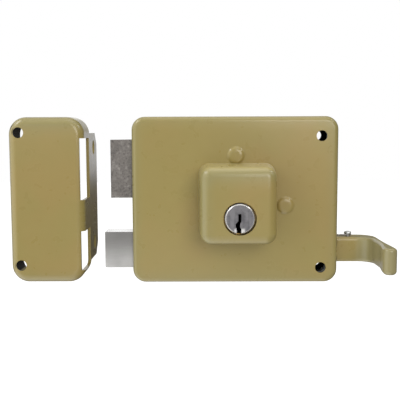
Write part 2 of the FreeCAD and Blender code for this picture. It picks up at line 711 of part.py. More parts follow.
# Latch bolt with its tail
def latch_bolt():
    """A block with its slope on the side that meets the keep."""
    x0, x1 = LATCH_TIP, LATCH_HEEL
    y0, y1 = BOLT_FRONT_Y, BOLT_REAR_Y
    plan = [Vector(x0, y0, LATCH_LOW_Z), Vector(x1, y0, LATCH_LOW_Z), Vector(x1, y1, LATCH_LOW_Z),
            Vector(-HALF_W - 0.6, y1, LATCH_LOW_Z), Vector(x0, y0 + LATCH_NOSE_T, LATCH_LOW_Z)]
    block = Part.Face(Part.makePolygon(plan + [plan[0]])).extrude(Vector(0, 0, LATCH_H))
    tip = [e for e in along(block, "Z") if e.BoundBox.XMax < -HALF_W]
    block = block.makeFillet(BOLT_EDGE, tip)
    block = block.cut(box(x1 - TAIL_GRIP, x1 + 1, TAIL_FRONT, y1 + 1, LATCH_LOW_Z - 1, LATCH_TOP_Z + 1))
    block = block.cut(rod_x(x1 - LATCH_BORE, x1 + 1, LATCH_SPRING_Y, LATCH_SPRING_Z, LATCH_BORE_R))
    for x, z in LATCH_RIVETS:
        block = block.cut(rod_y(TAIL_FRONT - 4, TAIL_FRONT + 1, x, z, TAIL_RIVET_R))
    return block


LATCH_RIVETS = ((LATCH_HEEL - 5.0, LATCH_LOW_Z + 6.0), (LATCH_HEEL - 5.0, LATCH_TOP_Z - 3.5))


def latch_tail():
    """A sheet that runs over two posts and comes down to the handle."""
    top, low = RAIL_Z + RAIL_W / 2, RAIL_Z - RAIL_W / 2
    x0 = LATCH_HEEL - TAIL_GRIP
    right = LEG_LEFT + LEG_W
    foot = TONGUE_LOW_Z - 0.4
    points = [(x0, LATCH_LOW_Z + 0.4), (LATCH_HEEL + 2, LATCH_LOW_Z + 0.4), (LATCH_HEEL + 6, low),
              (LEG_LEFT, low), (LEG_LEFT, foot), (right, foot), (right, top - 2),
              (right - 2, top), (LATCH_HEEL + 8, top), (LATCH_HEEL, LATCH_TOP_Z - 0.4),
              (x0, LATCH_TOP_Z - 0.4)]
    tail = outline_slab(points, TAIL_FRONT, BOLT_REAR_Y)
    for x, z in GUIDES[:2]:
        tail = tail.cut(slot_x(x - LATCH_TRAVEL - 0.4, x + 0.4, z, POST_R + SLOT_GAP,
                               TAIL_FRONT - 1, BOLT_REAR_Y + 1))
    tail = tail.cut(rod_y(TAIL_FRONT - 1, BOLT_REAR_Y + 1, DRIVE_X, TONGUE_MID_Z, DRIVE_R + 0.1))
    for x, z in LATCH_RIVETS:
        tail = tail.cut(rod_y(TAIL_FRONT - 1, BOLT_REAR_Y + 1, x, z, TAIL_RIVET_R))
    return tail


def tail_rivets(places):
    out = []
    for x, z in places:
        shank = rod_y(TAIL_FRONT - TAIL_RIVET_DEPTH, BOLT_REAR_Y, x, z, TAIL_RIVET_R)
        head = cone_y(BOLT_REAR_Y, BOLT_REAR_Y + 0.7, x, z, TAIL_RIVET_R + 1.0, TAIL_RIVET_R + 0.2)
        out.append(join([shank, head]))
    return group(out)


# Dead bolt with its tail
def dead_bolt():
    x0, x1 = DEAD_TIP, DEAD_HEEL
    block = box(x0, x1, BOLT_FRONT_Y, BOLT_REAR_Y, DEAD_LOW_Z, DEAD_TOP_Z)
    tip = edges_where(block, flat_at("X", x0))
    block = block.makeFillet(BOLT_EDGE, tip)
    block = block.cut(box(x1 - TAIL_GRIP, x1 + 1, TAIL_FRONT, BOLT_REAR_Y + 1,
                          DEAD_LOW_Z - 1, DEAD_TOP_Z + 1))
    for x, z in DEAD_RIVETS:
        block = block.cut(rod_y(TAIL_FRONT - 4, TAIL_FRONT + 1, x, z, TAIL_RIVET_R))
    return block


DEAD_RIVETS = ((DEAD_HEEL - 5.0, DEAD_LOW_Z + 4.5), (DEAD_HEEL - 5.0, DEAD_TOP_Z - 4.5))


def dead_tail():
    px, pz = cam_pin_place()
    half = CAM_PIN_R + NOTCH_GAP
    floor = AXIS_Z - CAM_ARM - CAM_PIN_R - 0.4
    top = AXIS_Z - HUB_R - 0.6
    low = DEAD_LOW_Z + 1.2
    x0 = DEAD_HEEL - TAIL_GRIP
    points = [(x0, low)]
    for x in (DETENT_X - DEAD_TRAVEL, DETENT_X):
        points += [(x - 1.8, low), (x, low + 1.5), (x + 1.8, low)]
    points += [(DEAD_TAIL_END, low), (DEAD_TAIL_END, top - 3), (px + half + 4.0, top), (px + half, top),
               (px + half, floor), (px - half, floor), (px - half, top), (px - half - 4.0, top),
               (DEAD_HEEL, DEAD_TOP_Z - 0.4), (x0, DEAD_TOP_Z - 0.4)]
    tail = outline_slab(points, TAIL_FRONT, BOLT_REAR_Y)
    x, z = GUIDES[2]
    tail = tail.cut(slot_x(x - DEAD_TRAVEL - 0.4, x + 0.4, z, POST_R + SLOT_GAP,
                           TAIL_FRONT - 1, BOLT_REAR_Y + 1))
    for x, z in DEAD_RIVETS:
        tail = tail.cut(rod_y(TAIL_FRONT - 1, BOLT_REAR_Y + 1, x, z, TAIL_RIVET_R))
    return tail


# Springs of the bolts and of the handle
def detent_spring():
    """A leaf on the shelf whose bump sits in the tail's lower notches."""
    z = SHELF_Z + PLATE_T
    low = DEAD_LOW_Z + 1.2
    right = SHELF_X + SHELF_W
    left = SHELF_X - 2.0
    line = [(right, z), (left, z), (DETENT_X + 3.0, low - 1.6), (DETENT_X, low + 0.6),
            (DETENT_X - 3.0, low - 1.6)]
    back = [(DETENT_X - 3.4, low - 1.2), (DETENT_X, low + 1.25), (DETENT_X + 3.1, low - 1.0),
            (left + 0.1, z + LEAF_T), (right, z + LEAF_T)]
    leaf = outline_slab(line + back, LEAF_RIVET_Y - 2.4, LEAF_RIVET_Y + 2.8)
    return leaf.cut(rod_z(z - 1, z + 2, LEAF_RIVET_X, LEAF_RIVET_Y, LEAF_RIVET_R))


def detent_rivet():
    top = SHELF_Z + PLATE_T + LEAF_T
    shank = rod_z(SHELF_Z, top, LEAF_RIVET_X, LEAF_RIVET_Y, LEAF_RIVET_R)
    head = Part.makeCone(LEAF_RIVET_R + 0.8, LEAF_RIVET_R + 0.2, 0.7, Vector(LEAF_RIVET_X, LEAF_RIVET_Y, top),
                         Vector(0, 0, 1))
    return join([shank, head])


def latch_guide_rod():
    """The rod inside the latch's coil, riveted through the stop."""
    rod = rod_x(LATCH_HEEL - 3.5, STOP_X, LATCH_SPRING_Y, LATCH_SPRING_Z, LATCH_ROD_R)
    end = rod_x(STOP_X, STOP_X + PLATE_T + 0.5, LATCH_SPRING_Y, LATCH_SPRING_Z, LATCH_ROD_R - 0.5)
    return join([rod, end])


def latch_spring():
    start = LATCH_HEEL + WIRE / 2 + 0.05
    end = STOP_X - WIRE / 2 - 0.05

    def place(s, a, b):
        return Vector(start + s, LATCH_SPRING_Y + a, LATCH_SPRING_Z + b)
    points = coil_points(LATCH_COIL_R, (end - start) / LATCH_COIL_TURNS, LATCH_COIL_TURNS, 4, place)
    return tube(arc_path(points), WIRE / 2)


def spring_post():
    """The fixed post inside the cover that the handle's spring hooks on."""
    z = WIRE_Z - POST_LOOP
    post = rod_y(INNER_FRONT, SPRING_AXIS_Y + 1.6, SPRING_POST_X, z, SPRING_POST_R)
    collar = rod_y(INNER_FRONT, INNER_FRONT + 2.0, SPRING_POST_X, z, SPRING_POST_R + 1.0)
    return join([post, collar])


def loop_points(centre, r, start, sweep, turn):
    """Points round part of a circle; turn places (across, up) about the centre."""
    count = 2 * max(1, int(math.ceil(abs(sweep) / 90.0)))
    out = []
    for i in range(count + 1):
        a = math.radians(start + sweep * i / count)
        out.append(centre + turn(r * math.cos(a), r * math.sin(a)))
    return out


def handle_spring():
    """A tension coil from the fixed post to the pin in the handle."""
    y, z = SPRING_AXIS_Y, WIRE_Z
    first = loop_points(Vector(SPRING_POST_X, y, z - POST_LOOP), POST_LOOP, 330, -240,
                        lambda a, b: Vector(a, 0, b))
    last = loop_points(Vector(HANDLE_PIN_X, HANDLE_PIN_Y, z), PIN_LOOP, -90, 240,
                       lambda a, b: Vector(a, b, 0))
    x0, x1 = SPRING_POST_X + 2.0, HANDLE_COIL_END
    lead, steps, turns = 3 * WIRE, 8, HANDLE_COIL_TURNS
    pitch = (x1 - x0 - 2 * lead) / turns
    coil = []
    total = (turns + 2) * steps
    for i in range(total + 1):
        t = i / steps
        ramp = min(1.0, t, turns + 2 - t)
        r = HANDLE_COIL_R * (3 * ramp ** 2 - 2 * ramp ** 3)
        along_x = lead * min(t, 1.0) + pitch * min(max(t - 1.0, 0.0), turns)
        along_x += lead * max(t - turns - 1.0, 0.0)
        a = 2 * math.pi * t
        coil.append(Vector(x0 + along_x, y + r * math.sin(a), z + r * math.cos(a)))
    edges = arc_path(first)
    edges.append(Part.makeLine(first[-1], coil[0]))
    edges += arc_path(coil)
    edges.append(Part.makeLine(coil[-1], last[0]))
    edges += arc_path(last)
    return tube(edges, WIRE / 2)


# Handle: a cast hook with a tongue into the case
def handle_pull():
    """An arm that thins into a hook towards the room, with a bulb at its tip."""
    x_out = HOOK_X
    x_in = x_out - HOOK_BULB
    yf, yr = ARM_FRONT_Y, ARM_REAR_Y
    wall_in = x_out - 0.6 - HOOK_WALL
    k = math.sqrt(0.5)
    tip = HOOK_TIP_Y + HOOK_BULB / 2
    down, up = Vector(0, -1, 0), Vector(0, 1, 0)

    def at(x, y):
        return Vector(x, y, 0)
    a = at(wall_in - HOOK_IN_R, yf)
    b = at(wall_in, yf - HOOK_IN_R)
    c = at(x_out - 1.0, yr - HOOK_OUT_R)
    d = at(x_out - 1.0 - HOOK_OUT_R, yr)
    inner = Part.BSplineCurve()
    inner.interpolate([b, at(wall_in + 0.1, (b.y + tip) / 2), at(x_in, tip)],
                      InitialTangent=down, FinalTangent=down)
    outer = Part.BSplineCurve()
    outer.interpolate([at(x_out, tip), at(x_out - 0.6, (b.y + tip) / 2), c],
                      InitialTangent=up, FinalTangent=up)
    edges = [Part.makeLine(at(ARM_START, yf), a),
             Part.Arc(a, at(a.x + HOOK_IN_R * k, b.y + HOOK_IN_R * k), b).toShape(),
             inner.toShape(),
             Part.Arc(at(x_in, tip), at((x_in + x_out) / 2, HOOK_TIP_Y), at(x_out, tip)).toShape(),
             outer.toShape(),
             Part.Arc(c, at(d.x + HOOK_OUT_R * k, c.y + HOOK_OUT_R * k), d).toShape(),
             Part.makeLine(d, at(ARM_START, yr)),
             Part.makeLine(at(ARM_START, yr), at(ARM_START, yf))]
    plan = Part.Face(Part.Wire(edges))
    plan.translate(Vector(0, 0, ARM_LOW_Z))
    bar = plan.extrude(Vector(0, 0, ARM_TOP_Z - ARM_LOW_Z))
    rim = [e for e in bar.Edges if e.BoundBox.ZLength < 0.01 and e.BoundBox.XMax > ARM_START + 0.1]
    bar = bar.makeFillet(HOOK_EDGE, [e for e in rim if e.BoundBox.ZMin > ARM_LOW_Z + 1])
    rim = [e for e in bar.Edges if e.BoundBox.ZMax < ARM_LOW_Z + 0.01 and e.BoundBox.XMax > ARM_START + 0.1]
    bar = bar.makeFillet(HOOK_LOW_EDGE, rim)
    tongue = box(TONGUE_END_X, ARM_START + 1, yf, TONGUE_REAR_Y, TONGUE_LOW_Z, TONGUE_TOP_Z)
    drive = rod_y(TONGUE_REAR_Y, BOLT_REAR_Y + 0.2, DRIVE_X, TONGUE_MID_Z, DRIVE_R)
    whole = join([bar, tongue, drive])
    return whole.cut(rod_z(ARM_TOP_Z - HANDLE_PIN_DEPTH, ARM_TOP_Z + 1, HANDLE_PIN_X, HANDLE_PIN_Y,
                           HANDLE_PIN_R))


def handle_pin():
    """A dome-headed pin with a neck under the head for the wire."""
    x, y = HANDLE_PIN_X, HANDLE_PIN_Y
    neck = ARM_TOP_Z + HANDLE_NECK
    stem = rod_z(ARM_TOP_Z - HANDLE_PIN_DEPTH, neck, x, y, HANDLE_PIN_R)
    head = rod_z(neck, neck + HANDLE_HEAD_T, x, y, HANDLE_HEAD_R)
    head = head.makeFillet(HANDLE_HEAD_T * 0.7, edges_where(head, flat_at("Z", neck + HANDLE_HEAD_T)))
    return join([stem, head])


# Keep: one pressed tray with two windows, a lip and its screw holes
def keep():
    x1 = KEEP_RIGHT
    tray = pressed_tray(x1 - KEEP_W, x1, KEEP_CORNER, KEEP_EDGE)
    tray = join([tray, bent_lip(x1 - SHEET, x1, KEEP_WINDOW_REAR)])
    gap = KEEP_WINDOW_GAP
    for low, high in ((LATCH_LOW_Z, LATCH_TOP_Z), (DEAD_LOW_Z, DEAD_TOP_Z)):
        tray = tray.cut(box(x1 - KEEP_WINDOW_CUT, x1 + 1, FRONT - 1, KEEP_WINDOW_REAR, low - gap, high + gap))
    for z in (KEEP_HOLE_TOP_Z, KEEP_HOLE_LOW_Z):
        tray = tray.cut(rod_y(FRONT - 1, INNER_FRONT + 1, KEEP_HOLE_X, z, SCREW_R))
    for cut in lip_cuts(x1 - SHEET, x1):
        tray = tray.cut(cut)
    return tray


def main():
    save("case_cover", case_cover())
    save("boss_housing", boss_housing())
    save("boss_rivets", boss_rivets())
    save("back_plate", back_plate())
    save("guide_posts", guide_posts())
    save("cover_pillars", pillars())
    save("plate_screws", plate_screws())
    save("cylinder_body", cylinder_body())
    save("chamber_cover", chamber_cover())
    save("cylinder_screws", cylinder_screws())
    save("plug", plug())
    save("plug_clip", plug_clip())
    save("tail_blade", blade(PLUG_REAR - 3.0, -0.6))
    save("key_pins", key_pins())
    save("driver_pins", driver_pins())
    save("pin_springs", pin_springs())
    save("cam", cam())
    save("cam_pin", cam_pin())
    save("latch_bolt", latch_bolt())
    save("latch_tail", latch_tail())
    save("latch_rivets", tail_rivets(LATCH_RIVETS))
    save("dead_bolt", dead_bolt())
    save("dead_tail", dead_tail())
    save("dead_rivets", tail_rivets(DEAD_RIVETS))
    save("detent_spring", detent_spring())
    save("detent_rivet", detent_rivet())
    save("latch_guide_rod", latch_guide_rod())
    save("latch_spring", latch_spring())
    save("spring_post", spring_post())
    save("handle_spring", handle_spring())
    save("handle_pull", handle_pull())
    save("handle_pin", handle_pin())
    save("keep", keep())


main()
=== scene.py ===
# %% [markdown]
# # A rim door lock with a pull handle, and its keep
# The lock is screwed to the room side of a door and the keep to the frame beside
# it. The solids come from the frame file, so this lesson gives them their
# finishes, adds the small forms that paint and the latch's spring need, and
# lights them.

import json
import math

import bmesh
import bpy
from mathutils import Matrix, Vector


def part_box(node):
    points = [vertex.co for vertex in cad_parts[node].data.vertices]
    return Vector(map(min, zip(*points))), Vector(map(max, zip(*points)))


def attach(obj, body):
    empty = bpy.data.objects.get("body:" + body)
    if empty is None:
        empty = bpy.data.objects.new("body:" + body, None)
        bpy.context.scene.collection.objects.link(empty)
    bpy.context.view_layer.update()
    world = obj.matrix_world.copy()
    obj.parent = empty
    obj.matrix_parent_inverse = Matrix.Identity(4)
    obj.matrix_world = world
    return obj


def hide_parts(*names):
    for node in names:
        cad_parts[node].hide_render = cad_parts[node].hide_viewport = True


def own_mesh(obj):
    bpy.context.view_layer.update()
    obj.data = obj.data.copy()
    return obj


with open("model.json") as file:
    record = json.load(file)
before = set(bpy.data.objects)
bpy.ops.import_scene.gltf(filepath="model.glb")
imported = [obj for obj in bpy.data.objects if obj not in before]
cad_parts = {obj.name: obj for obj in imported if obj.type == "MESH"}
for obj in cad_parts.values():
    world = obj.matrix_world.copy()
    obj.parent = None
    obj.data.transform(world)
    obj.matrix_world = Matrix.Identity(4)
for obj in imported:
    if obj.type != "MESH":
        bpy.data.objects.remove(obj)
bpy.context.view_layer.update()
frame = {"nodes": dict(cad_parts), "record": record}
print("frame pieces:", len(frame["nodes"]))

MM = 0.001

# %% [markdown]
# ## Camera
# The lock was photographed from a little over a third of a metre away, slightly
# above and left of its middle, looking down a few degrees. A lens of 65 mm on a
# 36 mm wide sensor gives the same strength of perspective. A camera looks along
# its own -Z, so its axes are written out as the columns of a matrix.

# %% Camera
PICTURE_WIDTH = 400
SENSOR_WIDTH = 36.0
LENS_PX = 720.7
CAMERA_PLACE = Vector((-15.5, -367.3, 35.4)) * MM
CAMERA_TURN = (-0.244, -5.774, -0.196)


def camera_matrix(place, turn):
    """Axes of a camera turned by (sideways, up, roll) degrees from looking along +Y."""
    side, lift, roll = (math.radians(a) for a in turn)
    ahead = Vector((math.sin(side) * math.cos(lift), math.cos(side) * math.cos(lift), math.sin(lift)))
    level = Vector((math.cos(side), -math.sin(side), 0.0))
    upright = level.cross(ahead)
    x_axis = level * math.cos(roll) + upright * math.sin(roll)
    y_axis = upright * math.cos(roll) - level * math.sin(roll)
    matrix = Matrix((x_axis, y_axis, -ahead)).transposed().to_4x4()
    matrix.translation = place
    return matrix


scene = bpy.context.scene
lens = bpy.data.cameras.new("camera")
lens.sensor_width = SENSOR_WIDTH
lens.lens = LENS_PX / PICTURE_WIDTH * SENSOR_WIDTH
lens.clip_start = 0.01
camera = bpy.data.objects.new("camera", lens)
camera.matrix_world = camera_matrix(CAMERA_PLACE, CAMERA_TURN)
scene.collection.objects.link(camera)
scene.camera = camera
print("lens", round(lens.lens, 1), "mm")

# %% [markdown]
# ## Writing finishes as sums
# A finish is easiest to read when its maths looks like maths. Signal wraps the
# socket that a number comes out of, so that + - * / between signals, or between
# a signal and a plain number, add the Math nodes. Most masks below are steps:
# they turn a place, or a direction, into a soft edge between 0 and 1.

# %% Signal
class Signal:
    """A number that comes out of a node."""

    def __init__(self, wiring, socket):
        self.wiring = wiring
        self.socket = socket

    def calculate(self, operation, a, b=0.0):
        node = self.wiring.node("ShaderNodeMath", {"operation": operation}, {0: a, 1: b})
        return Signal(self.wiring, node.outputs[0])

    def __add__(self, other):
        return self.calculate("ADD", self, other)

    __radd__ = __add__

    def __sub__(self, other):
        return self.calculate("SUBTRACT", self, other)

    def __rsub__(self, other):
        return self.calculate("SUBTRACT", other, self)

    def __mul__(self, other):
        return self.calculate("MULTIPLY", self, other)

    __rmul__ = __mul__

    def __truediv__(self, other):
        return self.calculate("DIVIDE", self, other)

    def __rtruediv__(self, other):
        return self.calculate("DIVIDE", other, self)

    def __pow__(self, other):
        return self.calculate("POWER", self, other)

    def sine(self):
        return self.calculate("SINE", self)

    def clip(self):
        """The signal, held between 0 and 1."""
        node = self.wiring.node("ShaderNodeClamp", {}, {"Value": self})
        return Signal(self.wiring, node.outputs[0])

    def step(self, low, high, out_low=0.0, out_high=1.0):
        """Goes smoothly from out_low to out_high as the signal goes from low to high."""
        node = self.wiring.node("ShaderNodeMapRange", {"interpolation_type": "SMOOTHSTEP"},
                                {"Value": self, "From Min": low, "From Max": high,
                                 "To Min": out_low, "To Max": out_high})
        return Signal(self.wiring, node.outputs[0])

    def fade(self, low, high):
        """1 below low and 0 above high."""
        return self.step(low, high, 1.0, 0.0)


# %% [markdown]
# Wiring holds one node tree, of a material or of the world. Every kind of node
# but Math comes out of its node method, which takes the settings first, because
# a setting can change which sockets a node has, and then the values or links.

# %% Wiring
class Wiring:
    """A node tree and the ways to add nodes to it."""

    def __init__(self, tree):
        self.tree = tree

    def feed(self, socket, value):
        if isinstance(value, Signal):
            value = value.socket
        if isinstance(value, bpy.types.NodeSocket):
            self.tree.links.new(value, socket)
        elif isinstance(value, (tuple, list)) and len(value) == 3 and socket.type == "RGBA":
            socket.default_value = (*value, 1.0)
        else:
            socket.default_value = value

    def node(self, kind, settings=None, inputs=None):
        made = self.tree.nodes.new(kind)
        for key, value in (settings or {}).items():
            if key == "stops":
                ramp = made.color_ramp
                while len(ramp.elements) < len(value):
                    ramp.elements.new(0.5)
                for element, (where, colour) in zip(ramp.elements, value):
                    element.position = where
                    element.color = (*colour, 1.0)
            else:
                setattr(made, key, value)
        for key, value in (inputs or {}).items():
            self.feed(made.inputs[key], value)
        return made

    def mix(self, a, b, amount):
        """Colour a where amount is 0 and colour b where it is 1."""
        node = self.node("ShaderNodeMix", {"data_type": "RGBA"}, {0: amount, 6: a, 7: b})
        return node.outputs[2]

    def ramp(self, signal, *stops):
        """Colour read off a scale of (position, colour) stops."""
        node = self.node("ShaderNodeValToRGB", {"stops": stops}, {0: signal})
        return node.outputs[0]


# %% [markdown]
# Finish is a Wiring with a material and its shader. Its patterns are laid out in
# Object coordinates: every piece sits at the origin, so they are places in the
# lock's own frame, and a size in millimetres is the size on the real object.

# %% Finish, in millimetres
PER_METRE = 1.0 / MM


class Finish(Wiring):
    """One material, its shader and patterns that are laid out in millimetres."""

    def __init__(self, name, **constants):
        self.material = bpy.data.materials.new(name)
        self.material.use_nodes = True
        super().__init__(self.material.node_tree)
        self.shader = self.tree.nodes["Principled BSDF"]
        self.surface(**constants)
        self.place = self.node("ShaderNodeTexCoord").outputs["Object"]

    def surface(self, **inputs):
        """Set or link sockets of the shader, with _ for the spaces in their names."""
        for key, value in inputs.items():
            self.feed(self.shader.inputs[key.replace("_", " ")], value)
        return self.material

    def stretched(self, x=1.0, y=1.0, z=1.0):
        """Places in millimetres, times a stretch along each axis."""
        scale = (x * PER_METRE, y * PER_METRE, z * PER_METRE)
        node = self.node("ShaderNodeMapping", {}, {"Vector": self.place, "Scale": scale})
        return node.outputs[0]

    def part(self, axis):
        """One of the place's own coordinates, in millimetres."""
        node = self.node("ShaderNodeSeparateXYZ", {}, {0: self.place})
        return Signal(self, node.outputs[axis]) * PER_METRE

    def noise(self, size, detail=2.0, rough=0.5, vector=None):
        """Soft random variation whose blobs are about size millimetres across, from 0 to 1."""
        where = vector if vector is not None else self.stretched()
        node = self.node("ShaderNodeTexNoise", {},
                         {"Vector": where, "Scale": 1.0 / size, "Detail": detail, "Roughness": rough})
        return Signal(self, node.outputs[0])

    def cells(self, size):
        """Distance to the nearest of random points about size millimetres apart."""
        node = self.node("ShaderNodeTexVoronoi", {"feature": "F1"},
                         {"Vector": self.stretched(), "Scale": 1.0 / size})
        return Signal(self, node.outputs[0])

    def bump(self, height, strength, depth, under=None):
        """Normal of a face whose height, times depth in millimetres, lies on the bump under."""
        inputs = {"Height": height, "Strength": strength, "Distance": depth * MM}
        if under is not None:
            inputs["Normal"] = under
        return self.node("ShaderNodeBump", {}, inputs).outputs[0]


# %% [markdown]
# ## Room
# The picture was taken in a white tent, with one soft lamp in front and to the
# upper right. Gloss enamel shows the tent that it faces, so the walls are not
# all one tone: white to the left, overhead and below, which draws the light
# bands along those edges, dull to the right and grey round the camera, with a
# pale table below it and a pale doorway to its left. Behind the lock the tent is
# dark at the lower right, which is what the side of the keep mirrors, olive and
# dark further right, where the top of the hook looks, and white over the bolts.
# The camera itself sees plain white there. Each mask is a soft step on a part of
# the direction looked in, which goes from -1 to 1. The Standard view transform
# leaves the colours as they are mixed here.

# %% World
LOW_GREY, LOW_DARK = (0.38, 0.36, 0.33), (0.030, 0.024, 0.018)
HIGH_GREY, HIGH_BLUISH = (0.60, 0.60, 0.59), (0.70, 0.72, 0.78)
OLIVE_SHADE = (0.20, 0.185, 0.12)
CORNER_DARK = (0.12, 0.12, 0.12)
OVER_BOLT_WHITE = (1.10, 1.10, 1.10)
DOOR_LIGHT = (1.45, 1.55, 1.65)
WHITE = (1.0, 1.0, 1.0)

scene.view_settings.view_transform = "Standard"
scene.view_settings.look = "None"

world = bpy.data.worlds.new("studio")
scene.world = world
world.use_nodes = True
world.node_tree.nodes.clear()
room = Wiring(world.node_tree)
heading = room.node("ShaderNodeTexCoord").outputs["Generated"]
split = room.node("ShaderNodeSeparateXYZ", {}, {0: heading})
right, away, up = (Signal(room, split.outputs[axis]) for axis in ("X", "Y", "Z"))
left = 0.0 - right
down = 0.0 - up

behind_keep = right.step(0.06, 0.14)
above_bolt = left.step(0.080, 0.095) * left.fade(0.145, 0.155) * up.step(0.06, 0.10)
far_low = room.mix(LOW_GREY, LOW_DARK, behind_keep)
far_high = room.mix(HIGH_GREY, HIGH_BLUISH, behind_keep)
far_high = room.mix(far_high, OLIVE_SHADE, right.step(0.12, 0.20) * up.step(0.03, 0.08))
far_high = room.mix(far_high, CORNER_DARK, right.step(0.30, 0.60))
far_high = room.mix(far_high, OVER_BOLT_WHITE, above_bolt)
far_side = room.mix(far_low, far_high, up.step(-0.085, -0.045))

wall = 0.24 + left.step(0.25, 0.85) * 0.55 + up.step(0.25, 0.85) * 0.60
wall = wall + down.step(0.25, 0.60) * (1.0 - right.step(0.00, 0.40) * 0.8) * 0.90
wall = wall + down.step(0.55, 0.85) * right.fade(0.10, 0.40) * 0.5
wall = wall - right.step(0.25, 0.80) * 0.15
table = down.step(0.120, 0.195) * down.fade(0.25, 0.60) * right.step(-0.150, -0.135)
table = table * (1.0 - right.step(0.02, 0.16) * 0.7)
grey = wall + table * 1.25
near_grey = room.node("ShaderNodeCombineColor", {}, {"Red": grey, "Green": grey, "Blue": grey})
door = left.step(0.11, 0.15) * left.fade(0.45, 0.60) * up.step(-0.020, -0.006) * up.fade(0.25, 0.35)
near_side = room.mix(near_grey.outputs[0], DOOR_LIGHT, door * 0.8)

around = room.mix(near_side, far_side, away.step(0.10, 0.55))
seen = Signal(room, room.node("ShaderNodeLightPath").outputs["Is Camera Ray"])
sky = room.node("ShaderNodeBackground", {}, {"Color": room.mix(around, WHITE, seen), "Strength": 1.0})
room.node("ShaderNodeOutputWorld", {}, {"Surface": sky.outputs[0]})
print("world nodes:", len(room.tree.nodes))

# %% [markdown]
# ## Lights
# One large warm soft box in front, at the upper right, does most of the work and
# casts the boss's soft shadow down to the left. A wide wall of light on the left
# and a weak one overhead fill in. Two small ones, high at the left and at the
# right, put the bright spots on the rounded corners of the cover and the boss.

# %% Lights
WARM_WHITE = (1.0, 0.97, 0.93)


def soft_light(name, place, size, power, tint=WHITE):
    """A rectangular soft box at place, in metres, that faces the lock."""
    lamp = bpy.data.lights.new(name, "AREA")
    lamp.shape = "RECTANGLE"
    lamp.size, lamp.size_y = size
    lamp.energy = power
    lamp.color = tint
    holder = bpy.data.objects.new(name, lamp)
    holder.location = place
    holder.rotation_euler = (-Vector(place)).to_track_quat("-Z", "Y").to_euler()
    scene.collection.objects.link(holder)


soft_light("key", (0.93, -2.62, 0.85), (1.60, 1.60), 36.0, WARM_WHITE)
soft_light("left_wall", (-1.40, -0.45, 0.10), (2.00, 1.50), 5.0)
soft_light("overhead", (0.16, -0.12, 1.20), (0.80, 0.80), 1.8)
soft_light("left_corner", (-0.50, -0.10, 0.50), (0.22, 0.22), 1.1)
soft_light("right_corner", (0.50, -0.05, 0.50), (0.14, 0.14), 0.60)

# %% [markdown]
# ## Floor
# A plain pale floor well below the lock. It is part of the studio, not of the
# object. Only the camera sees it: a pale floor would also show in every
# polished edge, where the real picture shows a dark table.
# It glows a little, so that it stays pale without a light of its own.

# %% Floor
FLOOR_Z = -0.45
FLOOR_HALF = 6.0

pale = Finish("pale_floor", Roughness=0.8, Emission_Color=WHITE, Emission_Strength=0.55)
pale.surface(Base_Color=pale.mix((0.86, 0.86, 0.85), (0.90, 0.90, 0.90), pale.noise(400.0)))

floor_mesh = bpy.data.meshes.new("floor")
floor_mesh.materials.append(pale.material)
floor = bpy.data.objects.new("floor", floor_mesh)
bm = bmesh.new()
bmesh.ops.create_grid(bm, x_segments=2, y_segments=2, size=FLOOR_HALF)
bmesh.ops.translate(bm, verts=bm.verts, vec=(0, 0, FLOOR_Z))
bm.to_mesh(floor_mesh)
bm.free()
scene.collection.objects.link(floor)
floor.visible_diffuse = False
floor.visible_glossy = False
print("floor at", FLOOR_Z, "m, faces", len(floor_mesh.polygons))

# %% [markdown]
# ## Pressed faces
# The fronts of cover, keep and boss were pressed or cast, and fall a little
# towards their edges. A press gives a long, shallow curve there that is hard to
# see by itself but widens the light bands along the edges. falls() is that
# height, and serves the bump, and the colour, where it sets how much painted
# reflection lies near an edge.

# %% Shape of a pressed face
def edges(node):
    """Left, right, lower and upper edge of a frame piece, in millimetres."""
    low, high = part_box(node)
    return low[0] / MM, high[0] / MM, low[2] / MM, high[2] / MM


def falls(finish, sides, width, drop):
    """Height of a face that falls by drop, in millimetres, over the last width before its sides.

    All three are four numbers, for the left, right, lower and upper side.
    """
    left_x, right_x, low_z, high_z = sides
    x, z = finish.part("X"), finish.part("Z")
    height = 0.0
    for distance, wide, deep in zip((x - left_x, right_x - x, z - low_z, high_z - z), width, drop):
        height = height - (1.0 - distance / wide).clip() ** 2.0 * deep
    return height


print("cover's edges in mm:", [round(v, 1) for v in edges("case_cover")])

# %% [markdown]
# ## Olive-gold enamel
# Cover, boss, keep and handle are sprayed and baked with one gloss enamel. Up
# close such paint has a fine orange peel, and its colour drifts between olive
# and brown with its thickness. Near an edge it is painted a cooler, greyer
# olive: a painted reflection of the room in the edge's curve. The peel is a
# shallow bump under a clear coat, so that highlights stay soft. Values that are
# the same all over are set on the shader's own sockets.

# %% Enamel coat
OLIVE, BROWN = (0.309, 0.245, 0.078), (0.328, 0.244, 0.080)
THICK, EDGE_REFLECTION_OLIVE = (0.334, 0.265, 0.084), (0.278, 0.246, 0.102)
# A near black, for painted shade in holes, bores and gaps.
PAINTED_SHADE_BLACK = (0.012, 0.011, 0.010)
GLOSS = {"Specular_IOR_Level": 0.28, "Coat_Roughness": 0.17, "Coat_IOR": 1.45}
COAT = 0.7


def enamel_coat(paint, shape=None):
    """Colour, roughness and bump of the enamel over a face of the given shape."""
    drift = paint.noise(38.0)
    fine = paint.noise(6.0)
    peel = paint.noise(2.4, 1.0, 0.4)
    base = paint.mix(OLIVE, BROWN, drift.step(0.40, 0.62))
    base = paint.mix(base, THICK, (fine - 0.45).clip() * 0.6)
    under = None
    if shape is not None:
        # Painted reflection: a cooler, greyer olive near the edges of a pressed face.
        base = paint.mix(base, EDGE_REFLECTION_OLIVE, (shape * -1.6).clip() * 0.8)
        under = paint.bump(shape, 1.0, 1.0)
    return base, fine.step(0.3, 0.7, 0.27, 0.33), paint.bump(peel, 0.06, 0.03, under)


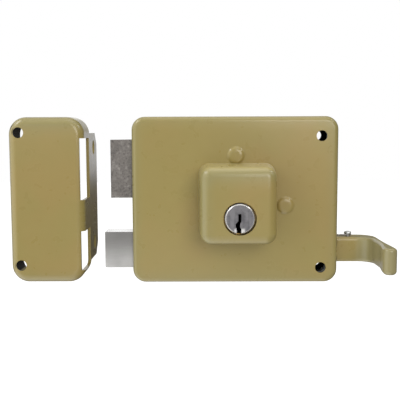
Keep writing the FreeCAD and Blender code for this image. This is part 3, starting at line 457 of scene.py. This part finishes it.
def painted(paint, coat, bare_and_shaded):
    """The enamel's material, but uncoated, rougher and painted near black where bare_and_shaded is 1: a
    painted shade.
    """
    base, rough, normal = coat
    return paint.surface(Base_Color=paint.mix(base, PAINTED_SHADE_BLACK, bare_and_shaded), Roughness=rough + bare_and_shaded * 0.3,
                         Coat_Weight=COAT * (1.0 - bare_and_shaded), Normal=normal)


# %% [markdown]
# The spray doesn't reach into the screw holes, and through them the camera looks
# into a dark case. The walls of the holes, and what lies behind the sheet round
# them, are painted near black: a painted shade. The record says where the holes
# are, so the mask for that painted shade is a distance from their axes: a narrow
# one for a hole's own wall and a wider one for what lies behind the sheet.

# %% Enamel with bare screw holes
SHEET = 1.5
COVER_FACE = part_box("case_cover")[0][1]
KEEP_LEFT = edges("keep")[0]


def screw_holes(mount_name):
    """Centres (x, z), in millimetres, of a pair of screw holes one above the other."""
    mount = next(m for m in frame["record"]["mounts"] if m["name"] == mount_name)
    x, _, middle = (v / MM for v in mount["pos_m"])
    half = mount["dims"]["spacing_y_mm"] / 2.0
    return [(x, middle - half), (x, middle + half)]


def distance_from(finish, x, z):
    """Distance from an axis along Y at (x, z), in millimetres."""
    across = finish.part("X") - x
    height = finish.part("Z") - z
    return (across * across + height * height) ** 0.5


def near_holes(finish, centres, reach):
    """1 within reach, in millimetres, of the axes of the holes, else 0."""
    found = 0.0
    for x, z in centres:
        found = found + distance_from(finish, x, z).fade(reach, reach + 0.3)
    return found


def enamel(name, sides=None, width=None, drop=None):
    paint = Finish(name, **GLOSS)
    shape = falls(paint, sides, width, drop) if sides else None
    holes = screw_holes("case_screws") + screw_holes("keep_screws")
    depth = paint.part("Y") - COVER_FACE / MM
    # Painted shade: near black on the holes' walls and on what lies behind the sheet.
    walls = near_holes(paint, holes, 3.0) * depth.step(0.25, 0.55)
    behind = near_holes(paint, holes, 4.6) * depth.step(SHEET - 0.15, SHEET - 0.05)
    behind = behind * paint.part("X").step(KEEP_LEFT + SHEET - 0.4, KEEP_LEFT + SHEET - 0.2)
    return painted(paint, enamel_coat(paint, shape), (walls + behind).clip())


GOLD = enamel("olive_gold_enamel")
COVER_GOLD = enamel("cover_enamel", edges("case_cover"), (8.0, 8.0, 9.0, 7.0), (0.7, 0.6, 0.5, 0.5))
KEEP_GOLD = enamel("keep_enamel", edges("keep"), (5.0, 3.0, 9.0, 12.0), (0.4, 0.2, 0.6, 1.2))
print("enamel nodes:", [len(m.node_tree.nodes) for m in (GOLD, COVER_GOLD, KEEP_GOLD)])

# %% [markdown]
# ## The boss, with painted shade in its bore
# Spray does not reach into the hole round the plug: the wall of that hole is
# painted near black, a painted shade that draws a black ring round the plug's
# face. The same enamel is used, with a mask that is 1 near the plug's axis and
# behind the face. Along the upper edge of its front the enamel is painted
# paler: a painted highlight where light from above falls.

# %% Boss enamel
PLUG_X, PLUG_Z = 1.5, -6.7
BORE_R = 8.0
BOSS_FACE_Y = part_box("boss_housing")[0][1] / MM
BOSS_LEFT, BOSS_RIGHT, BOSS_LOW, BOSS_TOP = -17.8, 19.7, -20.0, 18.1
TOP_HIGHLIGHT_OLIVE = (0.42, 0.35, 0.145)


def reach_from_plug(finish):
    """Distance from the plug's axis, in millimetres."""
    return distance_from(finish, PLUG_X, PLUG_Z)


def boss_enamel():
    paint = Finish("boss_enamel", **GLOSS)
    sides = (BOSS_LEFT, BOSS_RIGHT, BOSS_LOW, BOSS_TOP)
    shape = falls(paint, sides, (11.0, 6.0, 8.0, 13.0), (1.2, 0.1, 0.3, 1.5))
    base, rough, normal = enamel_coat(paint, shape)
    # Painted highlight: paler olive along the upper edge of the front.
    base = paint.mix(base, TOP_HIGHLIGHT_OLIVE, paint.part("Z").step(BOSS_TOP - 3.6, BOSS_TOP - 1.2) * 0.8)
    inside = paint.part("Y").step(BOSS_FACE_Y + 0.15, BOSS_FACE_Y + 0.45)
    # Painted shade: near black on the bore's wall behind the face.
    bore_shade = reach_from_plug(paint).fade(BORE_R - 0.1, BORE_R + 0.1) * inside
    return painted(paint, (base, rough, normal), bore_shade)


BOSS_GOLD = boss_enamel()
print("boss enamel nodes:", len(BOSS_GOLD.node_tree.nodes))

# %% [markdown]
# ## The handle, with a painted reflection on its hook
# The hook of the handle is painted a cooler, greyer olive than its arm, and a
# little darker at its tip: a painted reflection of the room in the hook's
# curve. Both are steps along X.

# %% Handle enamel
HOOK_X = edges("handle_pull")[1]
HOOK_REFLECTION_OLIVE, TIP_OLIVE = (0.325, 0.290, 0.140), (0.270, 0.235, 0.110)


def handle_enamel():
    paint = Finish("handle_enamel", **GLOSS)
    base, rough, normal = enamel_coat(paint)
    along = paint.part("X")
    # Painted reflection: cooler olive along the hook, darker at its tip.
    base = paint.mix(base, HOOK_REFLECTION_OLIVE, along.step(HOOK_X - 14.0, HOOK_X - 8.0) * 0.85)
    base = paint.mix(base, TIP_OLIVE, along.step(HOOK_X - 6.6, HOOK_X - 5.6) * 0.75)
    return paint.surface(Base_Color=base, Roughness=rough, Coat_Weight=COAT, Normal=normal)


HANDLE_GOLD = handle_enamel()
print("handle enamel nodes:", len(HANDLE_GOLD.node_tree.nodes))

# %% [markdown]
# ## Steel of the latch bolt
# The latch bolt is a sintered block: matt grey, with pores and lighter grains.
# Pores are small cells that darken the colour and sink the bump, and a few
# grains catch the light where a second set of cells and a noise both say so.

# %% Sintered steel
def sintered():
    steel = Finish("sintered_steel", Metallic=0.8, Specular_IOR_Level=0.4)
    grain = steel.noise(1.1, 3.0, 0.65)
    blotch = steel.noise(6.0)
    pores = steel.cells(1.5).fade(0.08, 0.40)
    glints = steel.cells(1.9).step(0.55, 0.85) * steel.noise(2.6).step(0.50, 0.66)
    base = steel.ramp(grain * 0.65 + blotch * 0.35,
                      (0.32, (0.130, 0.122, 0.114)),
                      (0.52, (0.215, 0.198, 0.184)),
                      (0.75, (0.34, 0.325, 0.305)))
    base = steel.mix(base, (0.060, 0.056, 0.053), pores * 0.45)
    base = steel.mix(base, (0.46, 0.44, 0.41), glints * 0.35)
    normal = steel.bump(grain - pores * 0.8, 0.4, 0.13)
    return steel.surface(Base_Color=base, Roughness=0.42 + grain * 0.3, Normal=normal)


SINTERED = sintered()
print("sintered steel nodes:", len(SINTERED.node_tree.nodes))

# %% [markdown]
# ## Steel of the dead bolt
# The dead bolt is cut from drawn bar, so fine lines run along it: noise that is
# stretched a long way in X. Its colour is painted darker towards the top and
# brighter towards the bottom, a painted gradient of reflected light, and its
# top edge is painted almost white, a painted reflection of the white above it.

# %% Drawn bar
BOLT_TOP = edges("dead_bolt")[3]


def drawn_bar():
    steel = Finish("drawn_steel", Metallic=0.85, Specular_IOR_Level=0.5)
    lines = steel.noise(0.22, 2.0, 0.6, vector=steel.stretched(x=0.035))
    cloud = steel.noise(9.0)
    height = steel.part("Z")
    # Painted shade at the top, painted reflections at the bottom and on the top edge.
    upper_shade = (height + cloud * 8.0).step(-30.0, -14.0)
    lower_reflection = (height + cloud * 5.0).fade(-30.0, -18.0)
    top_edge_reflection = height.step(BOLT_TOP - 0.03, BOLT_TOP - 0.01)
    base = steel.ramp(cloud * 0.7 + lines * 0.3,
                      (0.34, (0.40, 0.393, 0.38)),
                      (0.62, (0.57, 0.562, 0.545)))
    base = steel.mix(base, (0.20, 0.193, 0.185), upper_shade * 0.75)
    base = steel.mix(base, (0.80, 0.795, 0.78), lower_reflection * 0.2)
    base = steel.mix(base, (0.96, 0.96, 0.95), top_edge_reflection)
    rough = 0.34 + cloud * 0.18 - top_edge_reflection * 0.2
    normal = steel.bump(lines, 0.15, 0.03)
    return steel.surface(Base_Color=base, Roughness=rough, Normal=normal)


BAR = drawn_bar()
print("drawn bar nodes:", len(BAR.node_tree.nodes))

# %% [markdown]
# ## Zinc plate, brass and spring steel
# Sheet parts inside the case are bright zinc, which is a bluish white with
# faint cloudy grains, and painted near black round the screw holes, a painted
# shade seen through them. The cylinder is turned brass. Turning marks are rings
# about the plug's own axis: the distance from the axis goes into a fine sine
# wave.

# %% Zinc, brass and spring steel
def zinc():
    metal = Finish("bright_zinc", Metallic=0.85)
    grains = metal.cells(2.6)
    cloud = metal.noise(11.0)
    # Painted shade: near black round the screw holes on the plate's front.
    hole_shade = near_holes(metal, screw_holes("case_screws"), 5.0) * metal.part("Y").fade(-0.15, -0.05)
    base = metal.ramp(cloud * 0.7 + grains * 0.3,
                      (0.25, (0.50, 0.52, 0.54)),
                      (0.7, (0.70, 0.71, 0.70)))
    base = metal.mix(base, PAINTED_SHADE_BLACK, hole_shade)
    rough = 0.28 + cloud * 0.18 + hole_shade * 0.4
    normal = metal.bump(metal.noise(0.8), 0.15, 0.04)
    return metal.surface(Base_Color=base, Roughness=rough, Normal=normal)


def rings(metal, spacing):
    """Turning marks about the plug's axis, from 0 to 1, spacing millimetres apart."""
    return (reach_from_plug(metal) * (math.tau / spacing)).sine() * 0.5 + 0.5


def brass():
    metal = Finish("turned_brass", Metallic=1.0)
    marks = rings(metal, 0.35)
    cloud = metal.noise(4.0)
    base = metal.mix((0.62, 0.42, 0.15), (0.46, 0.29, 0.10), cloud.step(0.35, 0.7))
    normal = metal.bump(marks, 0.12, 0.02)
    return metal.surface(Base_Color=base, Roughness=0.25 + cloud * 0.2, Normal=normal)


def spring_steel():
    metal = Finish("spring_steel", Metallic=1.0)
    cloud = metal.noise(1.2)
    base = metal.mix((0.20, 0.19, 0.18), (0.38, 0.37, 0.36), cloud.step(0.35, 0.7))
    normal = metal.bump(cloud, 0.1, 0.03)
    return metal.surface(Base_Color=base, Roughness=0.30 + cloud * 0.2, Normal=normal)


ZINC = zinc()
BRASS = brass()
SPRING = spring_steel()
print("other metals' nodes:", [len(m.node_tree.nodes) for m in (ZINC, BRASS, SPRING)])

# %% [markdown]
# ## The plug's face
# The plug is nickel plated: its bevelled rim is painted bright, a painted
# highlight, the face is satin, with streaks from years of keys, and it is
# polished on both sides of the keyway's foot. Behind the face it is painted
# near black, a painted shade in the gap round it.

# %% Nickel
def nickel():
    metal = Finish("nickel_plate", Metallic=1.0)
    marks = rings(metal, 0.30)
    cloud = metal.noise(2.5, 3.0, 0.6)
    streak = metal.noise(1.3, vector=metal.stretched(z=0.06))
    # Painted highlight on the bevelled rim.
    rim = reach_from_plug(metal).step(6.2, 6.6)
    beside_key = ((metal.part("X") - (PLUG_X - 0.2)) ** 2.0).fade(3.0, 9.0)
    foot = (PLUG_Z - metal.part("Z")).step(3.8, 5.4) * beside_key
    # Painted shade behind the face, in the gap round the plug.
    hidden = metal.part("Y").step(BOSS_FACE_Y + 0.45, BOSS_FACE_Y + 1.0)
    satin = (cloud * 0.5 + streak * 0.5).step(0.38, 0.66)
    base = metal.mix((0.26, 0.255, 0.265), (0.14, 0.137, 0.148), satin)
    base = metal.mix(base, (0.72, 0.71, 0.70), rim)
    base = metal.mix(base, (0.80, 0.79, 0.78), foot * (1.0 - rim) * streak.step(0.3, 0.6))
    base = metal.mix(base, PAINTED_SHADE_BLACK, hidden)
    normal = metal.bump(marks * 0.5 + streak * 0.5, 0.12, 0.03)
    return metal.surface(Base_Color=base, Roughness=0.26 + cloud * 0.15 + hidden * 0.4, Normal=normal)


NICKEL = nickel()
print("nickel nodes:", len(NICKEL.node_tree.nodes))

# %% [markdown]
# ## Dressing the frame's own pieces
# Most solids already have the right shape, so each one is only given its
# finish. Assigning to the object's slots leaves the mesh alone.

# %% Give every frame piece its finish
DRESSING = (
    (COVER_GOLD, ("case_cover",)),
    (BOSS_GOLD, ("boss_housing",)),
    (HANDLE_GOLD, ("handle_pull",)),
    (KEEP_GOLD, ("keep",)),
    (GOLD, ("boss_rivets",)),
    (ZINC, ("back_plate", "guide_posts", "cover_pillars", "plate_screws", "cylinder_screws",
            "tail_blade", "cam", "cam_pin", "latch_tail", "latch_rivets", "dead_tail", "dead_rivets",
            "detent_rivet", "latch_guide_rod", "spring_post", "handle_pin")),
    (BRASS, ("cylinder_body", "chamber_cover", "key_pins", "driver_pins")),
    (NICKEL, ("plug",)),
    (SINTERED, ("latch_bolt",)),
    (BAR, ("dead_bolt",)),
    (SPRING, ("plug_clip", "pin_springs", "detent_spring", "latch_spring", "handle_spring")),
)


def dress(node, material):
    solid = frame["nodes"][node]
    if not solid.material_slots:
        solid.data.materials.append(material)
    for place in solid.material_slots:
        place.link = "OBJECT"
        place.material = material


undressed = set(frame["nodes"])
for material, nodes in DRESSING:
    for node in nodes:
        dress(node, material)
        undressed.remove(node)
print("pieces without a finish:", sorted(undressed))

# %% [markdown]
# ## New pieces
# A few forms are made here. Each is a bmesh that is turned into a smooth mesh
# with its place in it, so its object sits at the origin like the frame's own.

# %% Making a piece
def new_piece(name, bm, material, body):
    """A finished mesh that wears material and rides on body."""
    bmesh.ops.recalc_face_normals(bm, faces=bm.faces)
    for face in bm.faces:
        face.smooth = True
    mesh = bpy.data.meshes.new(name)
    bm.to_mesh(mesh)
    bm.free()
    mesh.materials.append(material)
    piece = bpy.data.objects.new(name, mesh)
    scene.collection.objects.link(piece)
    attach(piece, body)
    return piece


# %% [markdown]
# ## Where the paint gathers
# Enamel that is sprayed on after riveting runs into every inner corner, so the
# two rivet heads beside the boss look like low domes that melt into the cover.
# Each dome is one curve spun about the rivet's own axis. It is a skin over the
# frame's solid, so it rides on the case and replaces nothing. Points of the
# curve lie closer together towards its foot, where it bends most.

# %% Painted rivets
RIVET_R = 3.5 * MM
DOME_R, DOME_RISE, DOME_MELT = 3.85 * MM, 1.12 * MM, 4.4 * MM
SHOULDER = 0.97 * DOME_R
SINK = 0.04 * MM
CURVE_STEPS, ROUND_STEPS = 30, 64


def dome_height(r):
    """Height of a painted rivet at a distance r from its axis, flat on top and steep at its rim."""
    if r <= SHOULDER:
        return DOME_RISE * (1.0 - (r / DOME_R) ** 5) ** 0.5
    left_over = max(0.0, 1.0 - (r - SHOULDER) / (DOME_MELT - SHOULDER))
    return dome_height(SHOULDER) * left_over ** 2


def painted_rivet(name, x, z):
    bm = bmesh.new()
    curve = [bm.verts.new((x, COVER_FACE + SINK, z))]
    for i in range(CURVE_STEPS + 1):
        r = DOME_MELT * (1.0 - i / CURVE_STEPS) ** 0.7
        curve.append(bm.verts.new((x + r, COVER_FACE - dome_height(r), z)))
    links = [bm.edges.new(pair) for pair in zip(curve, curve[1:])]
    bmesh.ops.spin(bm, geom=curve + links, cent=(x, 0.0, z), axis=(0.0, 1.0, 0.0), dvec=(0.0, 0.0, 0.0),
                   angle=math.tau, steps=ROUND_STEPS, use_merge=True)
    bmesh.ops.remove_doubles(bm, verts=bm.verts, dist=0.001 * MM)
    return new_piece(name, bm, GOLD, "case")


rivets_low, rivets_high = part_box("boss_rivets")
rivet_places = {"paint_rivet_top": (rivets_low[0] + RIVET_R, rivets_high[2] - RIVET_R),
                "paint_rivet_side": (rivets_high[0] - RIVET_R, rivets_low[2] + RIVET_R)}
for name, (x, z) in rivet_places.items():
    skin = painted_rivet(name, x, z)
    print(name, "at", round(x / MM, 2), round(z / MM, 2), "faces", len(skin.data.polygons))

# %% [markdown]
# ## The latch's return spring
# The frame's coil is rigid, so a latch that slides in would cut into it. This
# coil has the same place, wire and turns, and stands for the frame's. A round of
# wire is spun about the coil's axis and moved along it a little at each step,
# which winds a helix.

# %% Return spring
COIL_TURNS, COIL_WIRE = 8, 0.8 * MM
WIRE_SIDES, TURN_STEPS = 12, 24
coil_low, coil_high = (Vector(corner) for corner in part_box("latch_spring"))
coil_middle = (coil_low + coil_high) / 2.0
coil_length = coil_high.x - coil_low.x
latch_joint = next(j for j in frame["record"]["behaviour"]["joints"] if j["name"] == "latch_slide")
latch_travel = latch_joint["range_m"][1]


def wound_wire():
    bm = bmesh.new()
    steps = TURN_STEPS * COIL_TURNS
    reach = (coil_high.z - coil_low.z - COIL_WIRE) / 2.0
    start = Matrix.Translation((coil_low.x + COIL_WIRE / 2.0, coil_middle.y + reach, coil_middle.z))
    bmesh.ops.create_circle(bm, segments=WIRE_SIDES, radius=COIL_WIRE / 2.0, matrix=start)
    first_end = bm.edges[:]
    wound = bmesh.ops.spin(bm, geom=bm.verts[:] + first_end, cent=coil_middle, axis=(1.0, 0.0, 0.0),
                           angle=math.tau * COIL_TURNS, steps=steps,
                           dvec=((coil_length - COIL_WIRE) / steps, 0.0, 0.0))
    last_end = [part for part in wound["geom_last"] if isinstance(part, bmesh.types.BMEdge)]
    for end in (first_end, last_end):
        bmesh.ops.contextual_create(bm, geom=end)
    return bm


return_spring = new_piece("return_spring", wound_wire(), SPRING, "case")
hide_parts("latch_spring")
1.0 - latch_travel / coil_length
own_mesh(return_spring)
print("return spring faces", len(return_spring.data.polygons))
